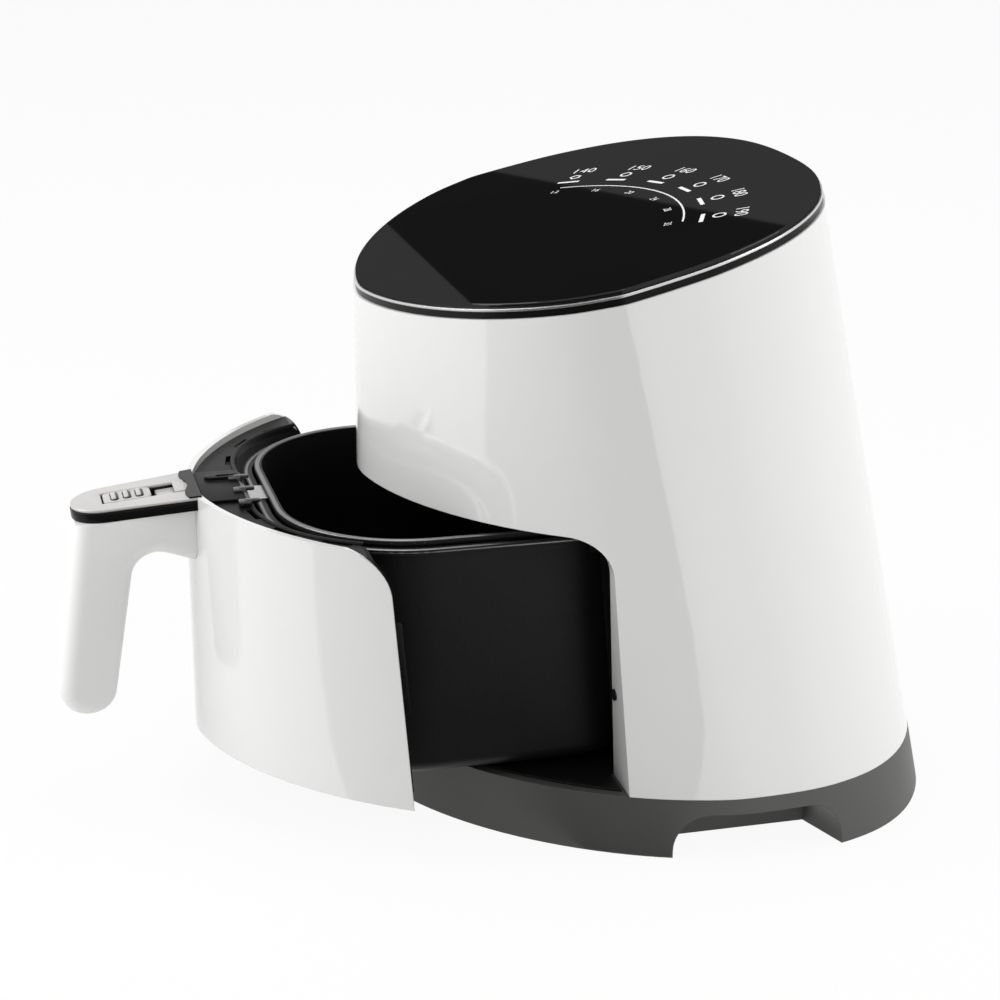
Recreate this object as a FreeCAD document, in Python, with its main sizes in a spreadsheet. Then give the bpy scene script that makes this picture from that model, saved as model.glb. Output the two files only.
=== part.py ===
"""Hot-air fryer with a pull-out drawer, built from named pieces, in millimetres."""
import FreeCAD, Part
import math
import os

V = FreeCAD.Vector
doc = FreeCAD.newDocument("fryer")
sheet = doc.addObject("Spreadsheet::Sheet", "sizes")

SIZES = {
    # Outer form: an egg-shaped section that changes evenly with height
    "foot_half_width": 148.0,
    "foot_front": 164.1,
    "foot_back": 116.7,
    "crown_half_width": 137.7,
    "crown_front": 89.8,
    "crown_back": 129.8,
    "crown_shift": -73.7,
    "crown_height": 300.0,
    "front_power": 1.715,
    "back_power": 2.47,
    "seam_height": 30.9,
    "opening_height": 158.8,
    "lid_tilt": 13.3,
    "lid_height": 285.4,
    "shell_wall": 2.5,
    # Split between the shell and the drawer front, seen from the side
    "split_depth": 63.3,
    "split_slope": 0.085,
    "split_gap": 15.5,
    "split_corner": 20.0,
    "front_corner": 24.0,
    "flange_half_width": 106.0,
    "flange_taper": 22.0,
    "lip_width": 5.0,
    "flange_screw_rise": 47.0,
    "flange_screw_out": 13.0,
    "drawer_out": 85.2,
    "running_gap": 1.0,
    # Base
    "base_wall": 3.0,
    "rim_clearance": 0.4,
    "cover_level": 2.0,
    "cover_thickness": 2.5,
    "recess_inner": 116.0,
    "recess_mouth": 140.0,
    "recess_inner_front": 40.0,
    "recess_inner_back": 30.0,
    "recess_flare_front": 4.0,
    "recess_flare_back": 8.0,
    "recess_height": 23.0,
    "recess_corner": 19.0,
    "foot_radius": 9.0,
    "foot_x": 88.0,
    "foot_front_y": 84.0,
    "foot_back_y": 60.0,
    "boss_radius": 5.0,
    "boss_x": 58.0,
    "boss_front_y": 108.0,
    "boss_back_y": 80.0,
    "screw_radius": 1.5,
    "screw_head": 3.4,
    "screw_head_height": 1.1,
    "inlet_radius": 7.0,
    "inlet_bore": 3.6,
    "inlet_x": 34.0,
    "inlet_z": 16.0,
    # Cooking space
    "liner_half_width": 101.0,
    "liner_back": 54.0,
    "liner_corner": 50.0,
    "liner_wall": 1.5,
    "tray_inset": 5.0,
    "tray_thickness": 1.2,
    "rail_width": 3.0,
    "rail_height": 5.0,
    "rail_length": 79.0,
    "rail_clearance": 0.3,
    # Heater and fans
    "axis_y": -40.0,
    "plate_thickness": 1.5,
    "bowl_radius": 88.0,
    "bowl_wall": 1.2,
    "bowl_flange": 10.0,
    "bowl_height": 33.0,
    "coil_outer": 74.0,
    "coil_inner": 50.0,
    "coil_tube": 3.2,
    "coil_level": 10.0,
    "guard_radius": 92.0,
    "guard_bar": 1.5,
    "shaft_radius": 3.0,
    "shaft_fit": 0.05,
    "fan_radius": 44.0,
    "fan_level": 27.0,
    "fan_blade": 9.0,
    "cooler_radius": 42.0,
    "cooler_level": 38.0,
    "bracket_level": 50.0,
    "bracket_radius": 60.0,
    "bracket_thickness": 2.0,
    "motor_radius": 30.0,
    "motor_height": 35.0,
    # Lid
    "carrier_lip": 3.4,
    "carrier_depth": 8.0,
    "carrier_inset": 1.2,
    "edge_thickness": 1.2,
    "edge_inset": 0.6,
    "glass_thickness": 2.2,
    "glass_inset": 1.4,
    "board_thickness": 1.6,
    "board_half_width": 60.0,
    "board_depth": 80.0,
    # Rear
    "vent_half_width": 38.0,
    "vent_low": 195.0,
    "vent_high": 240.0,
    "power_board_half": 40.0,
    "power_board_low": 50.0,
    "power_board_height": 55.0,
    "power_board_stand": 6.0,
    "switch_length": 20.0,
    "switch_depth": 8.0,
    "switch_height": 12.0,
    "switch_z": 60.0,
    # Drawer
    "front_wall": 3.0,
    "frame_wall": 2.5,
    "frame_drop": 3.3,
    "frame_thickness": 3.0,
    "rib_reach": 1.0,
    "skirt_low": 40.0,
    "pan_half_width": 100.0,
    "pan_front": 131.3,
    "pan_back": 52.0,
    "pan_front_corner": 70.0,
    "pan_back_corner": 48.0,
    "pan_rim": 3.0,
    "pan_rim_height": 2.5,
    "pan_top": 150.0,
    "pan_bottom": 36.0,
    "pan_wall": 1.5,
    "basket_inset": 8.0,
    "basket_wall": 1.2,
    "basket_rim": 2.5,
    "basket_top": 152.7,
    "basket_floor": 46.0,
    "basket_hole": 4.0,
    "basket_pitch": 18.0,
    "clip_half_width": 10.0,
    "clip_thickness": 1.2,
    "bridge_half_width": 23.0,
    "bridge_thickness": 1.5,
    "finger_width": 6.0,
    "finger_height": 1.5,
    "finger_length": 18.0,
    "hanger_half_width": 18.0,
    "hanger_low": 100.0,
    "slot_length": 15.0,
    "slot_width": 3.2,
    # Handle
    "handle_root": 158.8,
    "handle_top": 158.0,
    "handle_tilt": 5.2,
    "handle_length": 61.0,
    "handle_root_half": 21.5,
    "handle_tip_half": 17.0,
    "handle_plate": 1.7,
    "handle_band": 5.0,
    "grip_half_width": 18.0,
    "grip_round": 8.0,
    "grip_drop": 110.0,
    "grip_lean": 14.5,
    "grip_foot_depth": 28.0,
    "grip_neck": 31.5,
    "grip_neck_drop": 25.0,
    "grip_arch_drop": 13.0,
    "window_half_width": 8.0,
    "window_near": 6.0,
    "window_far": 46.0,
    "pocket_depth": 2.8,
    "slider_length": 22.0,
    "slider_thickness": 1.8,
    "slider_fit": 0.4,
    "slider_travel": 14.0,
    "button_length": 12.0,
    "button_height": 4.1,
    "button_drop": 0.5,
    "handle_screw_x": 9.0,
    "handle_screw_z": 138.0,
    "handle_screw_radius": 2.0,
    "handle_screw_head": 4.0,
}
for row, (alias, value) in enumerate(SIZES.items(), start=1):
    sheet.set("A%d" % row, alias)
    sheet.set("B%d" % row, str(value))
    sheet.setAlias("B%d" % row, alias)
doc.recompute()

FAR = 400.0
NODES = []


def size(alias):
    """The value of one cell of the sheet."""
    return float(getattr(sheet, alias))


def piece(label, shape, shift=None):
    """Adds a piece whose form was made from the sheet's sizes."""
    feature = doc.addObject("Part::Feature", label)
    feature.Label = label
    feature.Shape = shape
    moved = FreeCAD.Placement(shift or V(), FreeCAD.Rotation())
    feature.Placement = moved.multiply(shape.Placement)
    NODES.append(feature)
    return feature


def bound(kind, label, **cells):
    """Adds a parametric solid with each property bound to an expression on the sheet."""
    solid = doc.addObject("Part::" + kind, label)
    solid.Label = label
    for name, expression in cells.items():
        solid.setExpression(name.replace("_", "."), expression)
    return solid


def box(x0, x1, y0, y1, z0, z1):
    """A block between two corners."""
    return Part.makeBox(x1 - x0, y1 - y0, z1 - z0, V(x0, y0, z0))


def rod(radius, x, y, z0, z1):
    """An upright cylinder."""
    return Part.makeCylinder(radius, z1 - z0, V(x, y, z0))


def rod_y(radius, x, y0, y1, z):
    """A cylinder along the depth."""
    return Part.makeCylinder(radius, y1 - y0, V(x, y0, z), V(0, 1, 0))


def mirrored(shape):
    """The shape on the other side of the middle plane."""
    return shape.mirror(V(), V(1, 0, 0))


def both_sides(shape):
    """The shape and its mirror image."""
    return shape.fuse(mirrored(shape))


def rounded_wire(points, radii):
    """A closed outline with a tangent arc at every corner that has a radius."""
    edges, starts, ends = [], [], []
    count = len(points)
    for i, (corner, radius) in enumerate(zip(points, radii)):
        back = (points[i - 1] - corner).normalize()
        ahead = (points[(i + 1) % count] - corner).normalize()
        half = back.getAngle(ahead) / 2.0
        reach = radius / math.tan(half) if radius else 0.0
        starts.append(corner + back * reach)
        ends.append(corner + ahead * reach)
    for i, (corner, radius) in enumerate(zip(points, radii)):
        if radius:
            back = (points[i - 1] - corner).normalize()
            ahead = (points[(i + 1) % count] - corner).normalize()
            half = back.getAngle(ahead) / 2.0
            toward = (back + ahead).normalize()
            middle = corner + toward * (radius / math.sin(half) - radius)
            edges.append(Part.Arc(starts[i], middle, ends[i]).toShape())
        follower = starts[(i + 1) % count]
        if (follower - ends[i]).Length > 1e-6:
            edges.append(Part.makeLine(ends[i], follower))
    return Part.Wire(edges)


def prism(points, radii, along):
    """A solid swept straight from a rounded outline."""
    return Part.Face(rounded_wire(points, radii)).extrude(along)


# Outer form
def egg_wire(z, inset):
    """The outline of the body at one height, drawn in by an inset."""
    share = z / size("crown_height")

    def even(low, high):
        return size(low) * (1.0 - share) + size(high) * share - inset

    half = even("foot_half_width", "crown_half_width")
    front = even("foot_front", "crown_front")
    back = even("foot_back", "crown_back")
    shift = size("crown_shift") * share
    points = []
    steps = 40
    for i in range(steps):
        turn = 2.0 * math.pi * i / steps + math.pi / 2.0
        c, s = math.cos(turn), math.sin(turn)
        power = 2.0 / size("front_power" if s < 0 else "back_power")
        reach = front if s < 0 else back
        x = math.copysign(abs(c) ** power, c) * half
        y = math.copysign(abs(s) ** power, s) * reach + shift
        points.append(V(x, y, z))
    curve = Part.BSplineCurve()
    even_steps = [float(i) for i in range(steps + 1)]
    curve.interpolate(Points=points, PeriodicFlag=True, Parameters=even_steps)
    return Part.Wire(curve.toShape())


def egg(z0, z1, inset=0.0):
    """The body between two heights."""
    return Part.makeLoft([egg_wire(z0, inset), egg_wire(z1, inset)], True, True)


def egg_ring(z0, z1, outer, inner):
    """A wall that follows the body."""
    return egg(z0, z1, outer).cut(egg(z0 - 1.0, z1 + 1.0, inner))


def lid_slab(low, high):
    """A layer parallel to the slanted lid, by its distance from the rim."""
    slab = box(-FAR, FAR, -FAR, FAR, low, high)
    turn = FreeCAD.Rotation(V(1, 0, 0), size("lid_tilt"))
    slab.Placement = FreeCAD.Placement(V(0, 0, size("lid_height")), turn)
    return slab


def split_y(z):
    """Where the shell ends towards the drawer, at one height."""
    return -size("split_depth") - size("split_slope") * (z - size("seam_height"))


def opening(offset, top_offset, corner=None):
    """The space of the drawer front, seen from the side and run right across."""
    top = size("opening_height") + top_offset
    corner = corner or size("split_corner") + offset
    points = [
        V(-FAR, -FAR, 0.0),
        V(-FAR, split_y(0.0) + offset, 0.0),
        V(-FAR, split_y(top) + offset, top),
        V(-FAR, -FAR, top),
    ]
    return prism(points, [0, 0, corner, 0], V(2.0 * FAR, 0, 0))


wall = size("shell_wall")
seam = size("seam_height")
sky = size("lid_height") + 60.0

# Shell with its return round the opening
rim_cut = lid_slab(0.0, FAR)
skin = egg(seam, sky).cut(egg(seam - 1.0, sky + 1.0, wall)).cut(rim_cut)
inside = egg(seam, size("opening_height") + 2.0 * wall, wall / 2.0)
band = opening(wall, wall).cut(opening(0.0, 0.0)).common(inside)
flange = size("flange_half_width")
flange_top = flange + size("flange_taper")
way = [V(-flange, -FAR, seam - 1.0), V(flange, -FAR, seam - 1.0)]
way += [V(flange_top, -FAR, size("opening_height")), V(flange_top, -FAR, sky)]
way += [V(-flange_top, -FAR, sky), V(-flange_top, -FAR, size("opening_height"))]
core = egg(seam - 1.0, sky, size("lip_width")).common(prism(way, [0] * 6, V(0, 2.0 * FAR, 0)))
band = band.cut(core)
vent_half = size("vent_half_width")
vent_box = box(-vent_half, vent_half, 0.0, FAR, size("vent_low"), size("vent_high"))
screw_z = seam + size("flange_screw_rise")
screw_x = flange + size("flange_screw_out")
flange_turn = FreeCAD.Rotation(V(1, 0, 0), math.degrees(math.atan(size("split_slope"))))


def flange_rod(radius, start, end):
    """A cylinder square to the flange, by its distances in front of the face."""
    shape = Part.makeCylinder(radius, end - start, V(0, -start, 0), V(0, -1, 0))
    seat = FreeCAD.Placement(V(screw_x, split_y(screw_z), screw_z), flange_turn)
    shape.Placement = seat.multiply(shape.Placement)
    return shape


screw_hole = flange_rod(size("screw_radius") + size("shaft_fit"), -2.0 * wall, 2.0)
shell = skin.cut(opening(0.0, 0.0)).fuse(band).cut(both_sides(screw_hole)).cut(vent_box)
piece("outer_shell", shell)
flange_screw = flange_rod(size("screw_radius"), -2.0 * wall, 0.0)
flange_head = flange_rod(size("screw_head") * 0.8, 0.0, size("screw_head_height"))
flange_screw = flange_screw.fuse(flange_head)
piece("flange_screw_right", flange_screw)
piece("flange_screw_left", mirrored(flange_screw))

# Base, closed on top by a deck and open below
base_wall = size("base_wall")
rim_low = size("rim_clearance")
cover_top = size("cover_level") + size("cover_thickness")


def recess(grow):
    """One lifting recess under the side of the base."""
    inner = size("recess_inner") - grow
    front = -size("recess_inner_front") - grow
    back = size("recess_inner_back") + grow
    spread = 3.0
    mouth = inner + spread * (size("recess_mouth") - size("recess_inner"))
    points = [V(inner, front, -grow), V(inner, back, -grow)]
    points += [V(mouth, back + spread * size("recess_flare_back"), -grow)]
    points += [V(mouth, front - spread * size("recess_flare_front"), -grow)]
    height = size("recess_height") + 2.0 * grow
    solid = Part.Face(Part.makePolygon(points + points[:1])).extrude(V(0, 0, height))
    ceiling = [e for e in solid.Edges if e.BoundBox.ZMin > height - 2.0 * grow - 0.01]
    jambs = [e for e in ceiling if e.BoundBox.XLength > 1.0]
    return solid.makeFillet(size("recess_corner") + grow, jambs)


inlet_y = egg_wire(size("inlet_z"), 0.0).BoundBox.YMax - 3.0
base = egg(rim_low, seam).cut(egg(rim_low - 1.0, seam - base_wall, base_wall))
base = base.fuse(both_sides(recess(base_wall - 0.5).common(egg(rim_low, seam, 0.5))))
boss_rows = (-size("boss_front_y"), size("boss_back_y"))
boss_spots = [(side * size("boss_x"), row) for side in (-1, 1) for row in boss_rows]
screw_hole_radius = size("screw_radius") + size("shaft_fit")
for boss_x, boss_y in boss_spots:
    base = base.fuse(rod(size("boss_radius"), boss_x, boss_y, cover_top, seam - base_wall / 2.0))
for boss_x, boss_y in boss_spots:
    base = base.cut(rod(screw_hole_radius, boss_x, boss_y, 0.0, seam - base_wall))
base = base.cut(both_sides(recess(0.0)))
base = base.cut(rod_y(size("inlet_radius"), size("inlet_x"), 0.0, FAR, size("inlet_z")))
piece("base", base)
inlet = rod_y(size("inlet_radius"), size("inlet_x"), inlet_y - 12.0, inlet_y + 5.0, size("inlet_z"))
inlet = inlet.cut(rod_y(size("inlet_bore"), size("inlet_x"), 0.0, FAR, size("inlet_z")))
piece("cord_inlet", inlet)

cover = egg(size("cover_level"), cover_top, base_wall + 0.4)
cover = cover.cut(both_sides(recess(base_wall)))
for boss_x, boss_y in boss_spots:
    cover = cover.cut(rod(screw_hole_radius, boss_x, boss_y, 0.0, FAR))
piece("bottom_cover", cover)
for number, (boss_x, boss_y) in enumerate(boss_spots, start=1):
    level = size("cover_level")
    head = rod(size("screw_head"), boss_x, boss_y, level - size("screw_head_height"), level)
    shank = rod(size("screw_radius"), boss_x, boss_y, level, seam / 2.0)
    piece("base_screw_%d" % number, head.fuse(shank))
foot_spots = [
    ("-sizes.foot_x", "-sizes.foot_front_y"),
    ("sizes.foot_x", "-sizes.foot_front_y"),
    ("-sizes.foot_x", "sizes.foot_back_y"),
    ("sizes.foot_x", "sizes.foot_back_y"),
    ("0", "0"),
]
for number, (column, row) in enumerate(foot_spots, start=1):
    foot = bound("Cylinder", "foot_%d" % number, Radius="sizes.foot_radius", Height="sizes.cover_level",
                 Placement_Base_x=column, Placement_Base_y=row)
    NODES.append(foot)


# Cooking space
def plan(grow, z0, z1, half, front, back, front_corner, back_corner):
    """A rounded box seen from above, grown evenly to every side."""
    points = [V(-half - grow, front - grow, z0), V(half + grow, front - grow, z0)]
    points += [V(half + grow, back + grow, z0), V(-half - grow, back + grow, z0)]
    radii = [front_corner + grow, front_corner + grow, back_corner + grow, back_corner + grow]
    return prism(points, [max(r, 0.5) for r in radii], V(0, 0, z1 - z0))


def liner_plan(grow, z0, z1):
    """The cooking space, open to the front."""
    half, back = size("liner_half_width"), size("liner_back")
    return plan(grow, z0, z1, half, -0.8 * FAR, back, 1.0, size("liner_corner"))


liner_wall = size("liner_wall")
plate_low = size("opening_height") + wall
plate_top = plate_low + size("plate_thickness")
tray_top = seam + size("tray_thickness")
liner = liner_plan(liner_wall, seam, plate_low).cut(liner_plan(0.0, tray_top, FAR))
liner = liner.cut(opening(wall, 3.0 * wall))
before = box(-FAR, FAR, -FAR, split_y(seam) + 2.0 * wall, 0.0, FAR)
tray = egg(seam, tray_top, size("tray_inset")).common(before)
tray_side = box(-flange + 0.3, flange - 0.3, -FAR, FAR, 0.0, FAR)
flange_space = opening(wall, 0.0).common(box(-FAR, FAR, split_y(seam) - 2.0, FAR, 0.0, FAR))
tray = tray.cut(flange_space.cut(tray_side))
piece("cavity_liner", liner)
piece("floor_tray", tray.cut(liner).removeSplitter())
rail_places = {
    "rail_right": "sizes.liner_half_width - sizes.rail_width",
    "rail_left": "-sizes.liner_half_width",
}
for label, place in rail_places.items():
    rail_start = "sizes.liner_back - sizes.liner_corner - sizes.rail_length"
    rail_low = "sizes.pan_top - sizes.pan_rim_height - sizes.rail_clearance - sizes.rail_height"
    rail = bound("Box", label, Length="sizes.rail_width", Width="sizes.rail_length",
                 Height="sizes.rail_height", Placement_Base_x=place, Placement_Base_y=rail_start,
                 Placement_Base_z=rail_low)
    NODES.append(rail)

# Heater and fans, all on one upright axis
axis_y = size("axis_y")
bowl = size("bowl_radius")
bowl_wall = size("bowl_wall")
bowl_top = plate_top + size("bowl_height")
heater_plate = egg(plate_low, plate_top, wall + 0.2).cut(rod(bowl, 0.0, axis_y, 0.0, FAR))
piece("heater_plate", heater_plate)
coil_z = plate_top + size("coil_level")
coil_mid = (size("coil_outer") + size("coil_inner")) / 2.0
bend = (size("coil_outer") - size("coil_inner")) / 2.0
start_turn, end_turn = math.radians(14.0), math.radians(340.0)
leg_bend = 9.0


def coil_point(radius, turn, z=coil_z):
    """A point round the fan axis."""
    return V(radius * math.cos(turn), axis_y + radius * math.sin(turn), z)


def coil_arc(radius, first, last):
    """A level arc round the fan axis."""
    middle = coil_point(radius, (first + last) / 2.0)
    return Part.Arc(coil_point(radius, first), middle, coil_point(radius, last)).toShape()


def coil_leg(radius):
    """The bend and the upright end of one leg, from the top down."""
    foot = coil_point(radius, start_turn)
    along = V(-math.sin(start_turn), math.cos(start_turn), 0.0)
    knee = foot - along * leg_bend + V(0, 0, leg_bend)
    share = math.sin(math.pi / 4.0)
    middle = foot - along * (leg_bend * share) + V(0, 0, leg_bend * (1.0 - share))
    top = V(knee.x, knee.y, bowl_top + 6.0)
    return top, [Part.makeLine(top, knee), Part.Arc(knee, middle, foot).toShape()]


coil_outer, coil_inner = size("coil_outer"), size("coil_inner")
turn_ahead = V(-math.sin(end_turn), math.cos(end_turn), 0.0) * bend
turn_mid = coil_point(coil_mid, end_turn) + turn_ahead
turn_arc = Part.Arc(coil_point(coil_outer, end_turn), turn_mid, coil_point(coil_inner, end_turn))
leg_a, edges_a = coil_leg(coil_outer)
leg_b, edges_b = coil_leg(coil_inner)
rounds = [coil_arc(coil_outer, start_turn, end_turn), turn_arc.toShape()]
rounds.append(coil_arc(coil_inner, end_turn, start_turn))
path = edges_a + rounds + edges_b[::-1]
tube = Part.Wire(Part.makeCircle(size("coil_tube"), leg_a, V(0, 0, 1)))
coil = Part.Wire(Part.__sortEdges__(path)).makePipeShell([tube], True, False)
piece("heating_element", coil)

dome = rod(bowl + bowl_wall, 0.0, axis_y, plate_top, bowl_top)
dome = dome.fuse(rod(bowl + size("bowl_flange"), 0.0, axis_y, plate_top, plate_top + bowl_wall))
dome = dome.cut(rod(bowl, 0.0, axis_y, 0.0, bowl_top - bowl_wall))
dome = dome.cut(rod(2.0 * size("shaft_radius"), 0.0, axis_y, 0.0, FAR))
for leg in (leg_a, leg_b):
    dome = dome.cut(rod(size("coil_tube") + 0.4, leg.x, leg.y, 0.0, FAR))
piece("heater_bowl", dome)
clips = []
for turn in (math.radians(a) for a in (75.0, 180.0, 285.0)):
    spot = coil_point(size("coil_outer"), turn)
    clips.append(rod(size("coil_tube"), spot.x, spot.y, coil_z, bowl_top - bowl_wall).cut(coil))
clip_shape = Part.makeCompound([max(c.Solids, key=lambda s: s.Volume) for c in clips])
piece("element_clips", clip_shape)

guard_bar = size("guard_bar")
guard = None
for outer in (1.0, 0.8, 0.6, 0.4, 0.2):
    radius = size("guard_radius") * outer
    width = 10.0 if outer == 1.0 else 2.5
    ring = rod(radius, 0.0, axis_y, plate_low - guard_bar, plate_low)
    ring = ring.cut(rod(radius - width, 0.0, axis_y, 0.0, FAR))
    guard = ring if guard is None else guard.fuse(ring)
bar_reach = size("guard_radius") - 2.0
for turn in (0.0, 60.0, 120.0):
    bar = box(-bar_reach, bar_reach, -1.5, 1.5, plate_low - guard_bar, plate_low)
    bar.Placement = FreeCAD.Placement(V(0, axis_y, 0), FreeCAD.Rotation(V(0, 0, 1), turn))
    guard = guard.fuse(bar)
piece("fan_guard", guard)


def fan(radius, level, blade, blades, disc_on_top):
    """A flat disc with upright blades and a hub with a bore for the shaft."""
    low = plate_top + level
    shape = rod(radius, 0.0, axis_y, low, low + 1.2)
    blade_low = low - blade if disc_on_top else low + 1.2
    for i in range(blades):
        blade_box = box(6.0, radius - 2.0, -0.8, 0.8, blade_low, blade_low + blade)
        turn = FreeCAD.Rotation(V(0, 0, 1), 360.0 * i / blades)
        blade_box.Placement = FreeCAD.Placement(V(0, axis_y, 0), turn)
        shape = shape.fuse(blade_box)
    shape = shape.fuse(rod(8.0, 0.0, axis_y, blade_low, blade_low + blade))
    return shape.cut(rod(size("shaft_radius"), 0.0, axis_y, 0.0, FAR)).removeSplitter()


piece("hot_air_fan", fan(size("fan_radius"), size("fan_level"), size("fan_blade"), 8, True))
piece("cooling_fan", fan(size("cooler_radius"), size("cooler_level"), 7.0, 9, False))
bracket_low = plate_top + size("bracket_level")
motor_low = bracket_low + size("bracket_thickness")
bracket = rod(size("bracket_radius"), 0.0, axis_y, bracket_low, motor_low)
for turn in (45.0, 135.0, 225.0, 315.0):
    spot = coil_point(size("bracket_radius") - 6.0, math.radians(turn))
    bracket = bracket.fuse(rod(3.0, spot.x, spot.y, bowl_top, motor_low))
bracket = bracket.cut(rod(3.0 * size("shaft_radius"), 0.0, axis_y, 0.0, FAR))
piece("motor_bracket", bracket)
motor_top = motor_low + size("motor_height")
motor = rod(size("motor_radius"), 0.0, axis_y, motor_low, motor_top)
motor = motor.cut(rod(size("shaft_radius") + size("shaft_fit"), 0.0, axis_y, 0.0, motor_top - 5.0))
piece("motor", motor)
shaft_low = "sizes.opening_height + sizes.shell_wall + sizes.plate_thickness"
shaft_low += " + sizes.fan_level - sizes.fan_blade - 3"
shaft_height = "sizes.bracket_level + sizes.bracket_thickness + sizes.motor_height - 6"
shaft_height += " - sizes.fan_level + sizes.fan_blade + 3"
shaft = bound("Cylinder", "motor_shaft", Radius="sizes.shaft_radius", Height=shaft_height,
              Placement_Base_y="sizes.axis_y", Placement_Base_z=shaft_low)
NODES.append(shaft)


# Lid
def lid_layer(low, high, inset):
    """A layer of the lid that follows the body's outline."""
    return egg(size("opening_height"), sky + 20.0, inset).common(lid_slab(low, high))


carrier_lip = size("carrier_lip")
carrier = lid_layer(-1.0, carrier_lip, wall + 0.2)
carrier = carrier.fuse(lid_layer(0.0, carrier_lip, size("carrier_inset")))
carrier_skirt = lid_layer(-size("carrier_depth"), 0.0, wall + 0.2)
carrier = carrier.fuse(carrier_skirt.cut(lid_layer(-FAR / 4.0, -1.0, 14.0)))
piece("lid_carrier", carrier.removeSplitter())
edge_top = carrier_lip + size("edge_thickness")
edge = lid_layer(carrier_lip, edge_top, size("edge_inset"))
edge = edge.cut(lid_layer(-1.0, edge_top + 1.0, size("edge_inset") + 3.0))
piece("glass_edge", edge)
glass_top = edge_top + size("glass_thickness")
glass = lid_layer(edge_top, glass_top, size("glass_inset"))
piece("glass_panel", glass)
board = lid_slab(-1.0 - size("board_thickness"), -1.0)
board_half = size("board_half_width")
board = board.common(box(-board_half, board_half, -size("board_depth"), 10.0, 0.0, FAR))
piece("touch_board", board)

# Rear
vent_low, vent_high = size("vent_low"), size("vent_high")


def vent_field(grow):
    """The field of the rear grille, grown to every side."""
    half = vent_half + grow
    return box(-half, half, 0.0, FAR, vent_low - grow, vent_high + grow)


vent = egg_ring(vent_low - 20.0, vent_high + 20.0, 0.4, wall).common(vent_field(-0.2))
backing = egg_ring(vent_low - 20.0, vent_high + 20.0, wall, 2.0 * wall).common(vent_field(4.0))
vent = vent.fuse(backing)
slots = 5
pitch = (vent_high - vent_low) / slots
for i in range(slots):
    low = vent_low + pitch * (i + 0.25)
    vent = vent.cut(box(5.0 - vent_half, vent_half - 5.0, 0.0, FAR, low, low + pitch / 2.0))
piece("rear_vent", vent)
board_y = size("liner_back") + liner_wall
power_board = bound("Box", "power_board", Length="2 * sizes.power_board_half",
                    Width="sizes.board_thickness", Height="sizes.power_board_height",
                    Placement_Base_x="-sizes.power_board_half",
                    Placement_Base_y="sizes.liner_back + sizes.liner_wall + sizes.power_board_stand",
                    Placement_Base_z="sizes.power_board_low")
NODES.append(power_board)
post_x = size("power_board_half") - 6.0
post_end = board_y + size("power_board_stand")
posts = []
for x in (-post_x, post_x):
    for z in (6.0, size("power_board_height") - 6.0):
        posts.append(rod_y(3.0, x, board_y, post_end, size("power_board_low") + z))
piece("board_posts", Part.makeCompound(posts))
switch = bound("Box", "door_switch", Length="sizes.switch_depth", Width="sizes.switch_length",
               Height="sizes.switch_height", Placement_Base_x="sizes.liner_half_width + sizes.liner_wall",
               Placement_Base_y="-sizes.switch_length", Placement_Base_z="sizes.switch_z")
NODES.append(switch)

# Drawer, drawn closed and then pulled out
out = V(0, -size("drawer_out"), 0)
front_low = seam + size("running_gap")
front_high = size("opening_height") - size("running_gap")
gap = size("split_gap")


def handle_local(shape):
    """Moves a form drawn flat at the handle's root onto the sloping handle."""
    turn = FreeCAD.Rotation(V(1, 0, 0), size("handle_tilt"))
    place = FreeCAD.Placement(V(0, -size("handle_root"), size("handle_top")), turn)
    moved = shape.copy()
    moved.Placement = place.multiply(moved.Placement)
    return moved


def handle_plan(grow, z0, z1):
    """The handle's top seen from above, with a round tip."""
    root, tip = size("handle_root_half") + grow, size("handle_tip_half") + grow
    turn_y = -size("handle_length") + size("handle_tip_half")
    edges = [
        Part.makeLine(V(-tip, turn_y, z0), V(-root, 0, z0)),
        Part.makeLine(V(-root, 0, z0), V(root, 0, z0)),
        Part.makeLine(V(root, 0, z0), V(tip, turn_y, z0)),
        Part.Arc(V(tip, turn_y, z0), V(0, turn_y - tip, z0), V(-tip, turn_y, z0)).toShape(),
    ]
    return Part.Face(Part.Wire(edges)).extrude(V(0, 0, z1 - z0))


plate_low_local = -size("handle_plate")
band_low_local = plate_low_local - size("handle_band")
pocket_local = band_low_local - size("pocket_depth")
window_half = size("window_half_width")
window = box(-window_half, window_half, -size("window_far"), -size("window_near"), pocket_local, 5.0)
handle_block = handle_local(handle_plan(0.3, band_low_local, 3.0))
piece("handle_top_plate", handle_local(handle_plan(0.0, plate_low_local, 0.0).cut(window)), out)
piece("handle_trim", handle_local(handle_plan(0.3, band_low_local, plate_low_local).cut(window)), out)

front_wall = size("front_wall")
screw_seat = -size("handle_root") + 2.0
front_corner = size("front_corner")
front = egg_ring(front_low, front_high, 0.0, front_wall).common(opening(-gap, 0.0, front_corner))
handle_screws = (-size("handle_screw_x"), size("handle_screw_x"))
handle_screw_z = size("handle_screw_z")
for x in handle_screws:
    seat = rod_y(1.5 * size("handle_screw_head"), x, -FAR, screw_seat, handle_screw_z)
    front = front.fuse(seat.common(egg(front_low, front_high, 1.0)))
screw_bore = size("handle_screw_radius") + size("shaft_fit")
for x in handle_screws:
    front = front.cut(rod_y(screw_bore, x, -FAR, 0.0, handle_screw_z))
front = front.cut(handle_block)
piece("drawer_front", front, out)


def pan_plan(grow, z0, z1):
    """The pan's outline seen from above, counted from the outside of its rim."""
    return plan(grow, z0, z1, size("pan_half_width"), -size("pan_front"), size("pan_back"),
                size("pan_front_corner"), size("pan_back_corner"))


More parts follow.
